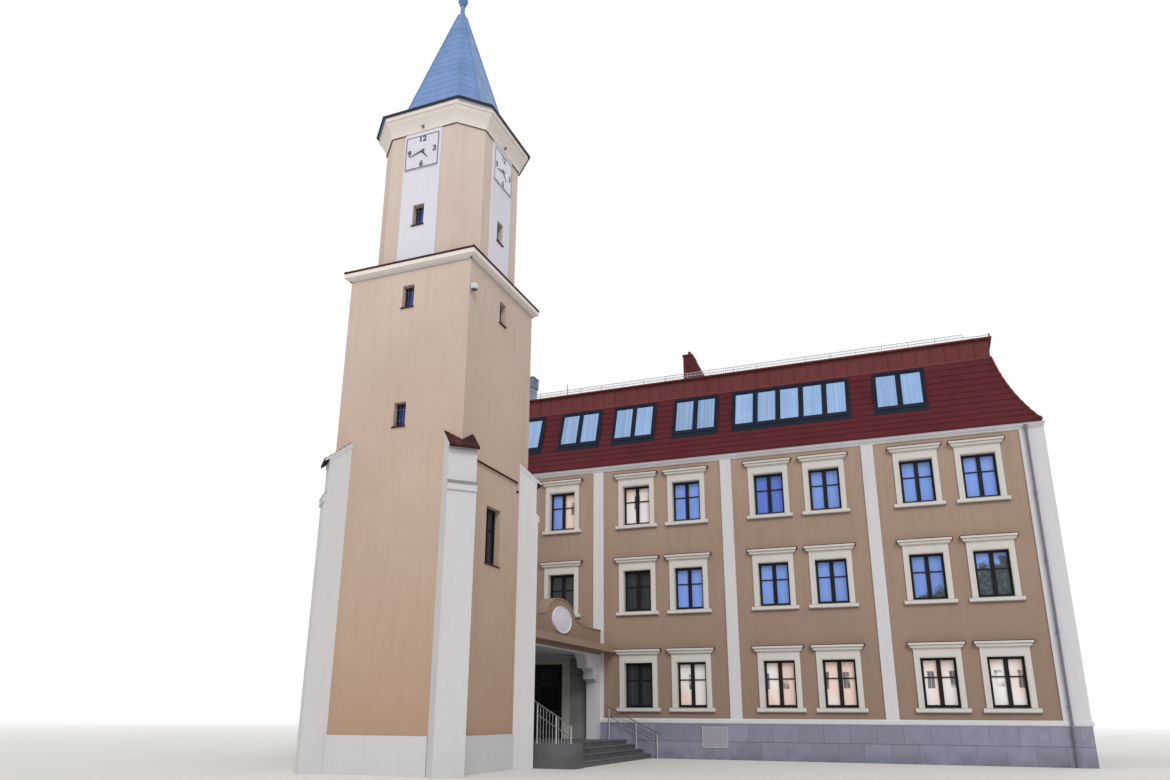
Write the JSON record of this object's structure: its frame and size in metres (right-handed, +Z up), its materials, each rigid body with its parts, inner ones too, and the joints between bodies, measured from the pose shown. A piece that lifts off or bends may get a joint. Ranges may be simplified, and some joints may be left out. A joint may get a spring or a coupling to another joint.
{
  "type": "town hall building",
  "caption": "Town hall with a long rendered block under a curved red roof, a porch with a stair, and a square tower with clocks and a pointed roof",
  "frame": {"origin": "middle of the footprint box, on the ground", "axes": "+Z up, -Y towards the square in front, +X along the front to the right"},
  "size_m": [29, 25.5331, 27.987],
  "materials": {
    "render_ochre": "rough smooth-trowelled render",
    "render_cream": "painted smooth render",
    "plinth_stone": "rubbed stone slabs",
    "concrete": "plain concrete",
    "frame_brown": "dark brown satin",
    "glass": "clear",
    "roof_red": "coated sheet in tile pattern",
    "light_frame": "dark grey powder coat",
    "sheet_zinc": "weathered sheet",
    "tile": "fired roof tile",
    "iron": "satin black",
    "pipe": "coated pipe",
    "dial": "white enamel"
  },
  "bodies": {
    "building": {"ground_wall_left": "render_ochre", "ground_wall_right": "render_ochre", "upper_front_wall": "render_ochre", "back_wall": "render_ochre", "end_walls": "render_ochre", "floors": "concrete", "plinth": "plinth_stone", "plinth_band": "render_cream", "pilasters": "render_cream", "window_surrounds": "render_cream", "window_frames": "frame_brown", "window_glass": "glass", "eaves_cornice": "render_cream", "downpipes": "pipe", "notice_board": "sheet_zinc", "mansard_front": "roof_red", "mansard_back": "roof_red", "mansard_ends": "roof_red", "roof_crown": "roof_red", "roof_deck": "concrete", "roof_light_frames": "light_frame", "roof_light_glass": "glass", "snow_guard": "iron", "chimney": "roof_red", "roof_fittings": "sheet_zinc", "tower_front_back": "render_ochre", "tower_sides": "render_ochre", "tower_foot": "render_cream", "tower_floor": "concrete", "buttresses": "render_cream", "tile_caps": "tile", "tower_cornice": "render_cream", "tower_window_frames": "frame_brown", "tower_window_glass": "glass", "dome_camera": "dial", "clock_stage": "render_ochre", "clock_strips": "render_cream", "stage_cornice": "render_cream", "spire": "sheet_zinc", "clock_dials": "dial", "porch_gable": "render_ochre", "porch_piers": "render_cream", "porch_closed_walls": "render_ochre", "porch_canopy": "render_cream", "entrance_steps": "concrete", "stair_flank": "concrete", "stair_railings": "iron", "entrance_frame": "frame_brown"},
    "minute_hand_front": {"minute_hand_front": "iron"},
    "hour_hand_front": {"hour_hand_front": "iron"},
    "minute_hand_right": {"minute_hand_right": "iron"},
    "hour_hand_right": {"hour_hand_right": "iron"},
    "minute_hand_back": {"minute_hand_back": "iron"},
    "hour_hand_back": {"hour_hand_back": "iron"},
    "minute_hand_left": {"minute_hand_left": "iron"},
    "hour_hand_left": {"hour_hand_left": "iron"},
    "door_left": {"door_leaf_left": "frame_brown", "door_glass_left": "glass"},
    "door_right": {"door_leaf_right": "frame_brown", "door_glass_right": "glass"}
  },
  "joints": [
    {"name": "minute_spin_front", "type": "hinge", "parent": "building", "child": "minute_hand_front", "pos_m": [-4.394, -12.0174, 19.615], "axis": [0, 1, 0], "continuous": true},
    {"name": "hour_spin_front", "type": "hinge", "parent": "building", "child": "hour_hand_front", "pos_m": [-4.394, -12.0174, 19.615], "axis": [0, 1, 0], "continuous": true},
    {"name": "minute_spin_right", "type": "hinge", "parent": "building", "child": "minute_hand_right", "pos_m": [-2.367, -9.9904, 19.615], "axis": [-1, 0, 0], "continuous": true},
    {"name": "hour_spin_right", "type": "hinge", "parent": "building", "child": "hour_hand_right", "pos_m": [-2.367, -9.9904, 19.615], "axis": [-1, 0, 0], "continuous": true},
    {"name": "minute_spin_back", "type": "hinge", "parent": "building", "child": "minute_hand_back", "pos_m": [-4.394, -7.9634, 19.615], "axis": [0, -1, 0], "continuous": true},
    {"name": "hour_spin_back", "type": "hinge", "parent": "building", "child": "hour_hand_back", "pos_m": [-4.394, -7.9634, 19.615], "axis": [0, -1, 0], "continuous": true},
    {"name": "minute_spin_left", "type": "hinge", "parent": "building", "child": "minute_hand_left", "pos_m": [-6.421, -9.9904, 19.615], "axis": [1, 0, 0], "continuous": true},
    {"name": "hour_spin_left", "type": "hinge", "parent": "building", "child": "hour_hand_left", "pos_m": [-6.421, -9.9904, 19.615], "axis": [1, 0, 0], "continuous": true},
    {"name": "door_swing_left", "type": "hinge", "parent": "building", "child": "door_left", "pos_m": [-6.605, 0.6046, 0.67], "axis": [0, 0, -1], "range_deg": [0, 90]},
    {"name": "door_swing_right", "type": "hinge", "parent": "building", "child": "door_right", "pos_m": [-4.415, 0.6046, 0.67], "axis": [0, 0, 1], "range_deg": [0, 90]}
  ],
  "couplings": [
    {"joint": "hour_spin_front", "follows": "minute_spin_front", "ratio": 0.083333},
    {"joint": "hour_spin_right", "follows": "minute_spin_right", "ratio": 0.083333},
    {"joint": "hour_spin_back", "follows": "minute_spin_back", "ratio": 0.083333},
    {"joint": "hour_spin_left", "follows": "minute_spin_left", "ratio": 0.083333}
  ]
}
